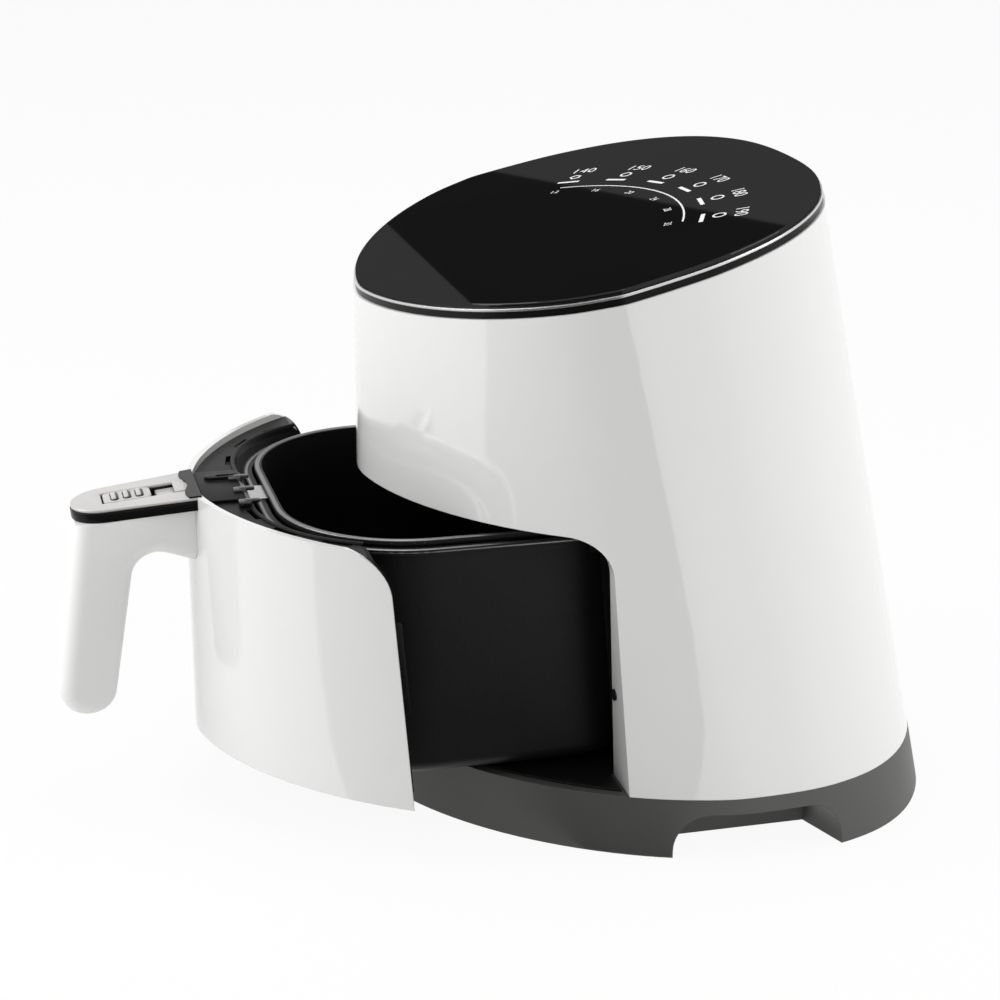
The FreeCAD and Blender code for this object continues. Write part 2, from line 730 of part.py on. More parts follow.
frame_top = front_high - size("frame_drop")
frame_low = frame_top - size("frame_thickness")
frame_wall = size("frame_wall")
reach = opening(size("rib_reach") - gap, 0.0, front_corner)
frame = egg(frame_low, frame_top, front_wall).common(reach).cut(pan_plan(4.0, 0.0, FAR))
frame = frame.fuse(egg_ring(size("skirt_low"), frame_low, front_wall, front_wall + frame_wall).common(reach))
pan_front = -size("pan_front")
hanger = size("hanger_half_width")
hanger_low = size("hanger_low")
pan_face = pan_front + size("pan_rim")
frame = frame.fuse(box(-hanger, hanger, pan_front - 16.0, pan_face, hanger_low, frame_low - 6.0))
frame = frame.fuse(box(4.0 - hanger, hanger - 4.0, pan_front - 16.0, pan_front - 5.0, hanger_low, frame_low))
corner_x = size("pan_half_width") - size("pan_front_corner")
corner_y = pan_front + size("pan_front_corner")
slot_half = size("slot_length") / 2.0
slot_near = -size("pan_front_corner") - 5.5
slot_far = slot_near - size("slot_width")
slot_plan = [V(-slot_half, slot_far, 0), V(slot_half, slot_far, 0), V(slot_half, slot_near, 0),
             V(-slot_half, slot_near, 0)]
for turn in (10.0, 32.0, 54.0):
    slot = prism(slot_plan, [0.48 * size("slot_width")] * 4, V(0, 0, 2.0 * size("frame_thickness")))
    place = V(corner_x, corner_y, frame_low - 1.0)
    slot.Placement = FreeCAD.Placement(place, FreeCAD.Rotation(V(0, 0, 1), turn))
    frame = frame.cut(both_sides(slot))
for x in handle_screws:
    head_room = size("handle_screw_head") + 3.0
    frame = frame.cut(rod_y(head_room, x, -FAR, pan_front - 17.0, handle_screw_z))
frame = frame.cut(handle_block)
piece("drawer_frame", frame.removeSplitter(), out)

pan_wall = size("pan_wall")
pan = pan_plan(-size("pan_rim"), size("pan_bottom"), size("pan_top"))
low_edges = [e for e in pan.Edges if abs(e.BoundBox.ZMax - size("pan_bottom")) < 0.01]
pan = pan.makeFillet(8.0, low_edges)
hollow = pan_plan(-size("pan_rim") - pan_wall, size("pan_bottom") + pan_wall, size("pan_top") + 1.0)
hollow_edges = [e for e in hollow.Edges if abs(e.BoundBox.ZMax - size("pan_bottom") - pan_wall) < 0.01]
hollow = hollow.makeFillet(6.5, hollow_edges)
rim = pan_plan(0.0, size("pan_top") - size("pan_rim_height"), size("pan_top"))
pan = pan.fuse(rim).cut(hollow)
piece("pan", pan.removeSplitter(), out)

basket_in = size("basket_inset")
basket_wall = size("basket_wall")
basket = pan_plan(-basket_in, size("basket_floor"), size("basket_top"))
basket = basket.fuse(pan_plan(-basket_in + size("basket_rim"), size("basket_top") - 2.0, size("basket_top")))
basket = basket.cut(pan_plan(-basket_in - basket_wall, size("basket_floor") + basket_wall, FAR))
mid_y = (size("pan_back") - size("pan_front")) / 2.0
holes = []
for i in range(-4, 5):
    for j in range(-4, 5):
        x, y = i * size("basket_pitch"), j * size("basket_pitch")
        if math.hypot(x, y) < 4.4 * size("basket_pitch"):
            hole_top = size("basket_floor") + 2.0 * basket_wall
            holes.append(rod(size("basket_hole"), x, mid_y + y, 0.0, hole_top))
basket = basket.cut(Part.makeCompound(holes))
pan_floor = size("pan_bottom") + pan_wall
for x in (-1, 1):
    for y in (-1, 1):
        stand = 2.5 * size("basket_pitch")
        leg_top = size("basket_floor") + basket_wall
        basket = basket.fuse(rod(3.0, x * stand, mid_y + y * stand, pan_floor, leg_top))
piece("basket", basket.removeSplitter(), out)
clip_back = pan_front + basket_in - size("basket_rim")
clip_half = size("clip_half_width")
clip_top = size("pan_top") + size("clip_thickness")
clip = box(-clip_half, clip_half, pan_front - 3.0, clip_back, size("pan_top"), clip_top)
piece("basket_clip", clip, out)
bridge_back = pan_front - 4.5
bridge_top = frame_top + size("bridge_thickness")
bridge_half = size("bridge_half_width")
bridge = box(-bridge_half, bridge_half, 1.0 - size("handle_root"), bridge_back, frame_top, bridge_top)
bridge = bridge.common(egg(frame_top, bridge_top, front_wall + 0.3)).cut(handle_block)
piece("bridge_plate", bridge, out)
finger_left = -0.6 * bridge_half
finger_right = finger_left + size("finger_width")
finger_start = bridge_back - size("finger_length")
finger_plan = [V(finger_left, finger_start, bridge_top), V(finger_right, finger_start, bridge_top),
               V(finger_right, bridge_back, bridge_top), V(finger_left, bridge_back, bridge_top)]
finger_round = 0.48 * size("finger_width")
finger = prism(finger_plan, [finger_round, finger_round, 0.5, 0.5], V(0, 0, size("finger_height")))
piece("latch_finger", finger, out)

# Grip
grip_half = size("grip_half_width")
root_y = -size("handle_root")
handle_top = size("handle_top")
tip_y = root_y - size("handle_length") + 1.5
foot_y = tip_y - size("grip_lean")
foot_z = handle_top - size("grip_drop")
neck_y = root_y - size("grip_neck")
neck_z = handle_top - size("grip_neck_drop")
profile = [
    V(-grip_half, root_y + 4.8, handle_top + 12.0),
    V(-grip_half, tip_y, handle_top + 12.0),
    V(-grip_half, tip_y, handle_top - 11.5),
    V(-grip_half, foot_y, foot_z),
    V(-grip_half, foot_y + size("grip_foot_depth"), foot_z),
    V(-grip_half, neck_y, neck_z),
    V(-grip_half, root_y + 4.8, neck_z - size("grip_arch_drop")),
]
foot_round = 0.48 * size("grip_foot_depth")
grip = prism(profile, [0, 0, 0, foot_round, foot_round, 13.0, 0], V(2.0 * grip_half, 0, 0))
low_sides = [e for e in grip.Edges if e.BoundBox.ZMin < handle_top + 7.0]
side_edges = [e for e in low_sides if e.BoundBox.XLength < 0.01]
grip = grip.makeFillet(size("grip_round"), side_edges)
above = handle_local(box(-FAR, FAR, -FAR, FAR, band_low_local, FAR))
grip = grip.cut(above).cut(egg(seam - 10.0, size("opening_height") + 40.0))
grip = grip.cut(handle_local(window))
for x in handle_screws:
    grip = grip.cut(rod_y(screw_bore, x, root_y - 24.0, 0.0, handle_screw_z))
piece("handle_grip", grip, out)
for label, x in zip(("handle_screw_left", "handle_screw_right"), handle_screws):
    shank = rod_y(size("handle_screw_radius"), x, root_y - 22.0, screw_seat, handle_screw_z)
    head = rod_y(size("handle_screw_head"), x, screw_seat, screw_seat + 2.0, handle_screw_z)
    piece(label, shank.fuse(head), out)

# Guard over the release button
slide_half = size("window_half_width") - size("slider_fit")
slide_far = -size("window_far") + 2.0
slide_near = slide_far + size("slider_length")
slide_low = -0.1 - size("slider_thickness")
slider = box(-slide_half, slide_half, slide_far, slide_near, slide_low, -0.1)
for i in range(3):
    low = slide_far + 4.0 + 5.5 * i
    slider = slider.fuse(box(-slide_half + 2.0, slide_half - 2.0, low, low + 2.8, -0.2, 0.8))
piece("guard_slider", handle_local(slider), out)
button_top = slide_low - size("button_drop")
button_near = -size("window_near") - 2.0
button_far = button_near - size("button_length")
button_low = button_top - size("button_height")
button = box(-slide_half, slide_half, button_far, button_near, button_low, button_top)
piece("release_button", handle_local(button), out)

doc.recompute()
os.makedirs("parts", exist_ok=True)
for node in NODES:
    faults = [state for state in node.State if state in ("Invalid", "Error")]
    if faults or node.Shape.isNull() or not node.Shape.isValid():
        raise RuntimeError("%s is not sound: %s" % (node.Label, faults))
    if not node.Shape.Solids:
        raise RuntimeError("%s has no solid" % node.Label)
for node in NODES:
    node.Shape.exportStep("parts/%s.step" % node.Label)
    print(node.Label, len(node.Shape.Solids), round(node.Shape.Volume / 1000.0, 2))
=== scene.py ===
"""A hot-air fryer with its drawer pulled out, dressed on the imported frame."""
import logging
import math
from dataclasses import dataclass
from enum import Enum
from typing import Callable, Iterable, Sequence

import bpy
from mathutils import Matrix, Vector


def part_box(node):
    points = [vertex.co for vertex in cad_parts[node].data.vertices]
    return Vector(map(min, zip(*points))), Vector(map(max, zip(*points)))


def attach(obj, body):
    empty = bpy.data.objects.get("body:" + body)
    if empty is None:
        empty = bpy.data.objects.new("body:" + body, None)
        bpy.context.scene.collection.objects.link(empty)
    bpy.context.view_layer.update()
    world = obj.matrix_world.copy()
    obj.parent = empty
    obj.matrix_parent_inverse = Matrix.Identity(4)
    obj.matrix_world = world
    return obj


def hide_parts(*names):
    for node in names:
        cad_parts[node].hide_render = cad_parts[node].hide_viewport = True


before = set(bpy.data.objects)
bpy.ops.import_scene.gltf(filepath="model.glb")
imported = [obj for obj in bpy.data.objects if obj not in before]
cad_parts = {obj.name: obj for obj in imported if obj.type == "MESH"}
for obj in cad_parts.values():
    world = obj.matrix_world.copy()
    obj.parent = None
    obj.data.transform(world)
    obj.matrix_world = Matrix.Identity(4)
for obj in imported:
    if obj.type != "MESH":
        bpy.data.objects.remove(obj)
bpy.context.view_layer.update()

LOG = logging.getLogger("fryer")
Point = tuple[float, float, float]

# The lid's plane: its slant, then its height over the origin and the glass's top above it, in metres.
LID_TILT = math.radians(13.3)
LID_HEIGHT = 0.2854
LID_TOP = 0.0068

# The slope of the handle's top, then the point at its root, in metres.
HANDLE_TILT = math.radians(5.2)
HANDLE_ROOT = Vector((0.0, -0.244, 0.158))

# How finely surfaces are worked: grains in a metre, noise layers, shares and depths.
COAT_ROUGHNESS = 0.1
BRUSH_STRETCH = (1.0, 1.0, 14.0)
EVEN_STRETCH = (1.0, 1.0, 1.0)
SPECK_SCALE = 1400.0
DRIFT_SCALE = 14.0
DRIFT_DETAIL = 3.0
DRIFT_LOW = 0.3
DRIFT_HIGH = 0.72
WEAR_SCALE = 30.0
WEAR_DETAIL = 4.0
WEAR_SPREAD = 0.12
LEAST_ROUGHNESS = 0.01
GRAIN_DETAIL = 2.0
GRAIN_DEPTH = 0.0004
EDGE_SAMPLES = 4

# How meshes are merged and rounded: distances in metres, angles in degrees.
MERGE_DISTANCE = 0.00001
FLAT_ANGLE = 0.6
FORM_SEGMENTS = 3
BAR_SEGMENTS = 2
BAR_ANGLE = 50.0
CORNER_SEGMENTS = 8
BEAD_CORNER_SEGMENTS = 20
BEAD_RESOLUTION = 3


class Body(Enum):
    """The bodies of the frame that pieces made here ride on."""

    HOUSING = "housing"
    DRAWER = "drawer"
    GUARD = "guard"
    BUTTON = "button"


class Texture(Enum):
    """How a surface is worked."""

    GLOSS = "gloss"
    SPARK = "spark"
    COATED = "coated"
    BRUSHED = "brushed"


@dataclass(frozen=True)
class Finish:
    """One surface finish of the fryer."""

    name: str
    colour: tuple[float, float, float]
    roughness: float
    texture: Texture
    metallic: float = 0.0
    specular: float = 0.5
    coat: float = 0.0
    relief: float = 0.05
    grain: float = 900.0
    drift: float = 0.04
    edge: float = 0.0006
    mirror: float = 0.0

    def make(self) -> bpy.types.Material:
        """Builds the node material.

        Returns:
            The finished material.
        """
        material = bpy.data.materials.new(self.name)
        material.use_nodes = True
        tree = material.node_tree
        shader = tree.nodes["Principled BSDF"]
        shader.inputs["Metallic"].default_value = self.metallic
        shader.inputs["Specular IOR Level"].default_value = self.specular
        shader.inputs["Coat Weight"].default_value = self.coat
        shader.inputs["Coat Roughness"].default_value = COAT_ROUGHNESS
        place = tree.nodes.new("ShaderNodeTexCoord")
        stretch = tree.nodes.new("ShaderNodeMapping")
        brushed = self.texture is Texture.BRUSHED
        stretch.inputs["Scale"].default_value = BRUSH_STRETCH if brushed else EVEN_STRETCH
        tree.links.new(place.outputs["Object"], stretch.inputs["Vector"])
        self._colour(tree, shader, stretch)
        self._roughness(tree, shader, stretch)
        self._relief(tree, shader, stretch)
        if self.mirror:
            self._mirror(tree, shader)
        return material

    def _mirror(self, tree: bpy.types.NodeTree, shader: bpy.types.Node) -> None:
        """Adds a faint mirror that is equally strong from all sides, as on dark polished glass.

        Args:
            tree: The material's nodes.
            shader: The surface shader below it.
        """
        shine = tree.nodes.new("ShaderNodeBsdfGlossy")
        shine.inputs["Roughness"].default_value = self.roughness
        mix = tree.nodes.new("ShaderNodeMixShader")
        mix.inputs["Fac"].default_value = self.mirror
        tree.links.new(shader.outputs["BSDF"], mix.inputs[1])
        tree.links.new(shine.outputs["BSDF"], mix.inputs[2])
        tree.links.new(mix.outputs["Shader"], tree.nodes["Material Output"].inputs["Surface"])

    def _noise(self, tree: bpy.types.NodeTree, source: bpy.types.Node, scale: float,
               detail: float) -> bpy.types.Node:
        """Adds a noise pattern.

        Args:
            tree: The material's nodes.
            source: The node that gives the place.
            scale: How many grains there are in a metre.
            detail: How many finer layers it has.

        Returns:
            The noise node.
        """
        noise = tree.nodes.new("ShaderNodeTexNoise")
        noise.inputs["Scale"].default_value = scale
        noise.inputs["Detail"].default_value = detail
        tree.links.new(source.outputs["Vector"], noise.inputs["Vector"])
        return noise

    def _colour(self, tree: bpy.types.NodeTree, shader: bpy.types.Node, place: bpy.types.Node) -> None:
        """Lets the colour drift a little over the piece, with fine specks in a coating.

        Args:
            tree: The material's nodes.
            shader: The surface shader.
            place: The node that gives the place.
        """
        scale = SPECK_SCALE if self.texture is Texture.COATED else DRIFT_SCALE
        noise = self._noise(tree, place, scale, DRIFT_DETAIL)
        ramp = tree.nodes.new("ShaderNodeValToRGB")
        ramp.color_ramp.elements[0].position = DRIFT_LOW
        ramp.color_ramp.elements[1].position = DRIFT_HIGH
        low = [max(c * (1.0 - self.drift), 0.0) for c in self.colour]
        high = [min(c * (1.0 + self.drift), 1.0) for c in self.colour]
        ramp.color_ramp.elements[0].color = (*low, 1.0)
        ramp.color_ramp.elements[1].color = (*high, 1.0)
        tree.links.new(noise.outputs["Fac"], ramp.inputs["Fac"])
        tree.links.new(ramp.outputs["Color"], shader.inputs["Base Color"])

    def _roughness(self, tree: bpy.types.NodeTree, shader: bpy.types.Node,
                   place: bpy.types.Node) -> None:
        """Varies the gloss a little, as handling does.

        Args:
            tree: The material's nodes.
            shader: The surface shader.
            place: The node that gives the place.
        """
        noise = self._noise(tree, place, WEAR_SCALE, WEAR_DETAIL)
        spread = tree.nodes.new("ShaderNodeMapRange")
        spread.inputs["To Min"].default_value = max(self.roughness * (1.0 - WEAR_SPREAD), LEAST_ROUGHNESS)
        spread.inputs["To Max"].default_value = min(self.roughness * (1.0 + WEAR_SPREAD), 1.0)
        tree.links.new(noise.outputs["Fac"], spread.inputs["Value"])
        tree.links.new(spread.outputs["Result"], shader.inputs["Roughness"])

    def _relief(self, tree: bpy.types.NodeTree, shader: bpy.types.Node, place: bpy.types.Node) -> None:
        """Adds the moulded grain and softens the edges.

        Args:
            tree: The material's nodes.
            shader: The surface shader.
            place: The node that gives the place.
        """
        noise = self._noise(tree, place, self.grain, GRAIN_DETAIL)
        bump = tree.nodes.new("ShaderNodeBump")
        bump.inputs["Strength"].default_value = self.relief
        bump.inputs["Distance"].default_value = GRAIN_DEPTH
        soft = tree.nodes.new("ShaderNodeBevel")
        soft.samples = EDGE_SAMPLES
        soft.inputs["Radius"].default_value = self.edge
        tree.links.new(noise.outputs["Fac"], bump.inputs["Height"])
        tree.links.new(soft.outputs["Normal"], bump.inputs["Normal"])
        tree.links.new(bump.outputs["Normal"], shader.inputs["Normal"])


@dataclass(frozen=True)
class Finishes:
    """All finishes of the fryer."""

    white: Finish = Finish("white_gloss", (0.80, 0.80, 0.79), 0.07, Texture.GLOSS, coat=0.8,
                           relief=0.004, grain=120.0, drift=0.006)
    grip_white: Finish = Finish("white_satin", (0.84, 0.84, 0.83), 0.32, Texture.GLOSS, specular=0.3,
                                relief=0.01, grain=400.0, drift=0.006)
    grey: Finish = Finish("grey_satin", (0.072, 0.072, 0.067), 0.5, Texture.SPARK, relief=0.12,
                          grain=2200.0)
    frame_grey: Finish = Finish("frame_satin", (0.006, 0.006, 0.006), 0.36, Texture.SPARK,
                                specular=0.1, relief=0.12, grain=2200.0)
    catch_black: Finish = Finish("catch_gloss", (0.008, 0.008, 0.008), 0.16, Texture.SPARK,
                                 specular=0.5, relief=0.03, grain=2000.0)
    black: Finish = Finish("black_satin", (0.006, 0.006, 0.006), 0.22, Texture.SPARK,
                           specular=0.12, relief=0.04, grain=2000.0)
    coated: Finish = Finish("non_stick", (0.006, 0.006, 0.006), 0.45, Texture.COATED,
                            specular=0.25, relief=0.12, grain=1500.0, drift=0.35)
    rim: Finish = Finish("non_stick_rim", (0.2, 0.2, 0.196), 0.28, Texture.COATED, metallic=0.8,
                         relief=0.08, grain=1500.0, drift=0.2)
    glass: Finish = Finish("black_glass", (0.006, 0.006, 0.006), 0.02, Texture.GLOSS, specular=0.0,
                           relief=0.0, drift=0.1, edge=0.0004, mirror=0.032)
    silver: Finish = Finish("silver_edge", (0.62, 0.62, 0.62), 0.25, Texture.BRUSHED, metallic=0.9,
                            relief=0.03)
    plate: Finish = Finish("light_grey_satin", (0.58, 0.57, 0.555), 0.32, Texture.BRUSHED,
                           metallic=0.2, relief=0.05, grain=700.0)
    steel: Finish = Finish("bright_steel", (0.60, 0.60, 0.58), 0.28, Texture.BRUSHED, metallic=1.0,
                           relief=0.06)
    alloy: Finish = Finish("bare_alloy", (0.52, 0.52, 0.53), 0.38, Texture.BRUSHED, metallic=1.0,
                           relief=0.08)
    rubber: Finish = Finish("rubber_feet", (0.012, 0.012, 0.012), 0.75, Texture.SPARK, relief=0.2,
                            grain=1600.0)
    board: Finish = Finish("board_laminate", (0.02, 0.11, 0.04), 0.45, Texture.SPARK)
    print_white: Finish = Finish("legend_print", (0.85, 0.85, 0.85), 0.5, Texture.GLOSS, relief=0.0,
                                 edge=0.0)


@dataclass(frozen=True)
class Bar:
    """A small flat bar, the roundings of its edges and where its middle goes, in metres."""

    name: str
    size: Point
    corner: float
    bevel: float
    shift: Point = (0.0, 0.0, 0.0)


class Workbench:
    """Mesh work shared by all sub-assemblies."""

    def __init__(self, finishes: Finishes) -> None:
        """Makes every material once.

        Args:
            finishes: The list of finishes.
        """
        self.materials: dict[str, bpy.types.Material] = {}
        for finish in vars(finishes.__class__).values():
            if isinstance(finish, Finish):
                self.materials[finish.name] = finish.make()

    def only(self, piece: bpy.types.Object) -> None:
        """Selects one object and makes it active.

        Args:
            piece: The object.
        """
        bpy.ops.object.select_all(action="DESELECT")
        piece.select_set(True)
        bpy.context.view_layer.objects.active = piece

    def dress(self, nodes: Iterable[str], finish: Finish) -> None:
        """Gives CAD nodes a finish.

        Args:
            nodes: The nodes' names.
            finish: The finish they take.
        """
        for name in nodes:
            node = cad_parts[name]
            for slot in node.material_slots:
                slot.material = self.materials[finish.name]
            if not node.material_slots:
                node.data.materials.append(self.materials[finish.name])
            LOG.info("dressed %s", name)

    def refined(self, name: str, body: Body, finish: Finish, slot: str, bevel: float = 0.0,
                angle: float = 32.0, smooth: float = 32.0) -> bpy.types.Object:
        """Makes a smooth, merged copy of a CAD node that stands for it.

        Args:
            name: The CAD node.
            body: The body that it rides on.
            finish: The finish of the copy.
            slot: The material slot of the record.
            bevel: The width of a rounding on its sharp edges, in metres.
            angle: The angle above which an edge is rounded, in degrees.
            smooth: The angle up to which faces are shaded as one, in degrees.

        Returns:
            The new piece.
        """
        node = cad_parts[name]
        piece = bpy.data.objects.new(name + "_form", node.data.copy())
        bpy.context.scene.collection.objects.link(piece)
        self.only(piece)
        bpy.ops.object.mode_set(mode="EDIT")
        bpy.ops.mesh.select_all(action="SELECT")
        bpy.ops.mesh.customdata_custom_splitnormals_clear()
        bpy.ops.mesh.remove_doubles(threshold=MERGE_DISTANCE)
        if bevel:
            bpy.ops.mesh.dissolve_limited(angle_limit=math.radians(FLAT_ANGLE))
        bpy.ops.object.mode_set(mode="OBJECT")
        if bevel:
            self.rounded(piece, bevel, FORM_SEGMENTS, angle)
        return self.settle(piece, body, finish, slot, [name], smooth)

    def rounded(self, piece: bpy.types.Object, width: float, segments: int, angle: float) -> None:
        """Rounds the sharp edges of the active piece.

        Args:
            piece: The piece.
            width: The width of the rounding.
            segments: The number of its steps.
            angle: The angle above which an edge is rounded, in degrees.
        """
        rounding = piece.modifiers.new("rounding", "BEVEL")
        rounding.width = width
        rounding.segments = segments
        rounding.limit_method = "ANGLE"
        rounding.angle_limit = math.radians(angle)
        bpy.ops.object.modifier_apply(modifier="rounding")

    def settle(self, piece: bpy.types.Object, body: Body, finish: Finish, slot: str,
               stands_for: Sequence[str] = (), angle: float = 40.0) -> bpy.types.Object:
        """Smooths, dresses and mounts a piece.

        Args:
            piece: The finished mesh object.
            body: The body that it rides on.
            finish: Its finish.
            slot: The material slot of the record; not used.
            stands_for: CAD nodes that it replaces.
            angle: The angle above which an edge stays sharp, in degrees.

        Returns:
            The same piece.
        """
        self.only(piece)
        bpy.ops.object.transform_apply(location=True, rotation=True, scale=True)
        bpy.ops.object.shade_smooth_by_angle(angle=math.radians(angle))
        piece.data.materials.clear()
        piece.data.materials.append(self.materials[finish.name])
        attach(piece, body.value)
        if stands_for:
            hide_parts(*stands_for)
        LOG.info("built %s on %s", piece.name, body.value)
        return piece

    def bar(self, name: str, size: Sequence[float], corner: float, bevel: float = 0.0002,
            front_only: bool = False) -> bpy.types.Object:
        """Adds a flat bar whose upright edges are rounded, centred on the origin.

        Args:
            name: The piece's name.
            size: Its width, depth and height.
            corner: The radius of its upright edges.
            bevel: The rounding of its other edges.
            front_only: Whether only the end towards the front is rounded.

        Returns:
            The bar, still to be placed and settled.
        """
        bpy.ops.object.select_all(action="DESELECT")
        bpy.ops.mesh.primitive_cube_add(size=1.0)
        piece = bpy.context.object
        piece.name = name
        piece.scale = size
        bpy.ops.object.transform_apply(location=False, rotation=False, scale=True)
        bpy.context.tool_settings.mesh_select_mode = (False, True, False)
        bpy.ops.object.mode_set(mode="EDIT")
        bpy.ops.mesh.select_all(action="DESELECT")
        bpy.ops.object.mode_set(mode="OBJECT")
        for edge in piece.data.edges:
            first, second = (piece.data.vertices[i].co for i in edge.vertices)
            upright = abs(first.z - second.z) > 0.5 * size[2]
            edge.select = upright and (first.y < 0.0 or not front_only)
        bpy.ops.object.mode_set(mode="EDIT")
        bpy.ops.mesh.bevel(offset=corner, segments=CORNER_SEGMENTS, affect="EDGES")
        bpy.ops.object.mode_set(mode="OBJECT")
        bpy.context.tool_settings.mesh_select_mode = (True, False, False)
        self.rounded(piece, bevel, BAR_SEGMENTS, BAR_ANGLE)
        return piece

    def laid_bar(self, bar: Bar, place: Matrix) -> bpy.types.Object:
        """Adds a bar and lays it in its place.

        Args:
            bar: The bar.
            place: The place that its shift is measured from.

        Returns:
            The bar, still to be settled.
        """
        piece = self.bar(bar.name, bar.size, bar.corner, bar.bevel)
        return self.put(piece, place @ Matrix.Translation(bar.shift))

    def put(self, piece: bpy.types.Object, place: Matrix) -> bpy.types.Object:
        """Moves a piece and keeps the move in its mesh.

        Args:
            piece: The piece to move.
            place: Where it goes.

        Returns:
            The same piece.
        """
        self.only(piece)
        piece.matrix_world = place
        bpy.context.view_layer.update()
        bpy.ops.object.transform_apply(location=True, rotation=True, scale=True)
        return piece

    def hollowed(self, piece: bpy.types.Object, cutter: bpy.types.Object) -> bpy.types.Object:
        """Cuts one piece out of another.

        Args:
            piece: The piece to cut.
            cutter: The form that is taken away, which is removed afterwards.

        Returns:
            The cut piece.
        """
        self.only(piece)
        cut = piece.modifiers.new("cut", "BOOLEAN")
        cut.operation = "DIFFERENCE"
        cut.solver = "EXACT"
        cut.object = cutter
        bpy.ops.object.modifier_apply(modifier="cut")
        bpy.data.objects.remove(cutter, do_unlink=True)
        return piece

    def joined(self, name: str, pieces: Sequence[bpy.types.Object]) -> bpy.types.Object:
        """Joins loose pieces into one.

        Args:
            name: The name of the joined piece.
            pieces: The pieces to join.

        Returns:
            The joined piece.
        """
        bpy.ops.object.select_all(action="DESELECT")
        for piece in pieces:
            piece.select_set(True)
        bpy.context.view_layer.objects.active = pieces[0]
        bpy.ops.object.transform_apply(location=True, rotation=True, scale=True)
        if len(pieces) > 1:
            bpy.ops.object.join()
        joined = bpy.context.view_layer.objects.active
        joined.name = name
        return joined

    def bead(self, name: str, half: float, front: float, back: float, front_corner: float,
             back_corner: float, level: float, radius: float) -> bpy.types.Object:
        """Rolls a round bead along a rounded outline.

        Args:
            name: The piece's name.
            half: Half the outline's width.
            front: The depth of its front edge.
            back: The depth of its back edge.
            front_corner: The radius of its front corners.
            back_corner: The radius of its back corners.
            level: Its height.
            radius: The bead's radius.

        Returns:
            The bead as a mesh, still to be settled.
        """
        bpy.ops.object.select_all(action="DESELECT")
        bpy.ops.mesh.primitive_plane_add(size=1.0, location=(0.0, 0.0, 0.0))
        piece = bpy.context.object
        piece.name = name
        for vertex in piece.data.vertices:
            depth = front if vertex.co.y < 0 else back
            vertex.co = Vector((math.copysign(half, vertex.co.x), depth, level))
        for edge, corner in ((front, front_corner), (back, back_corner)):
            bpy.ops.object.mode_set(mode="EDIT")
            bpy.ops.mesh.select_all(action="DESELECT")
            bpy.ops.object.mode_set(mode="OBJECT")
            for vertex in piece.data.vertices:
                at_side = abs(abs(vertex.co.x) - half) < MERGE_DISTANCE
                vertex.select = at_side and abs(vertex.co.y - edge) < MERGE_DISTANCE
            bpy.ops.object.mode_set(mode="EDIT")
            bpy.ops.mesh.bevel(offset=corner, segments=BEAD_CORNER_SEGMENTS, affect="VERTICES")
            bpy.ops.object.mode_set(mode="OBJECT")
        bpy.ops.object.mode_set(mode="EDIT")
        bpy.ops.mesh.select_all(action="SELECT")
        bpy.ops.mesh.delete(type="ONLY_FACE")
        bpy.ops.object.mode_set(mode="OBJECT")
        bpy.ops.object.convert(target="CURVE")
        curve = bpy.context.object
        curve.data.bevel_depth = radius
        curve.data.bevel_resolution = BEAD_RESOLUTION
        curve.data.dimensions = "3D"
        bpy.ops.object.convert(target="MESH")
        return bpy.context.object


@dataclass
class Housing:
    """The shell, the base and all that is inside, the fans too."""

    bench: Workbench
    finishes: Finishes

    def build(self) -> None:
        """Builds and dresses the housing."""
        f = self.finishes
        self.bench.refined("outer_shell", Body.HOUSING, f.white, "white_shell")
        self.bench.refined("base", Body.HOUSING, f.grey, "grey_base")
        self.bench.dress(["bottom_cover"], f.grey)
        self.bench.dress(["cord_inlet", "rear_vent", "lid_carrier"], f.black)
        self.bench.dress(["door_switch", "board_posts", "cooling_fan"], f.black)
        self.bench.dress(["cavity_liner", "floor_tray", "rail_left", "rail_right"], f.coated)
        self.bench.dress([f"foot_{i}" for i in range(1, 6)], f.rubber)
        self.bench.dress(["heater_plate", "heater_bowl", "hot_air_fan"], f.alloy)
        self.bench.dress(["heating_element", "element_clips", "fan_guard"], f.steel)
        self.bench.dress(["motor", "motor_bracket", "motor_shaft"], f.steel)
        self.bench.dress([f"base_screw_{i}" for i in range(1, 5)], f.steel)
        self.bench.dress(["flange_screw_left", "flange_screw_right"], f.black)
        self.bench.dress(["touch_board", "power_board"], f.board)


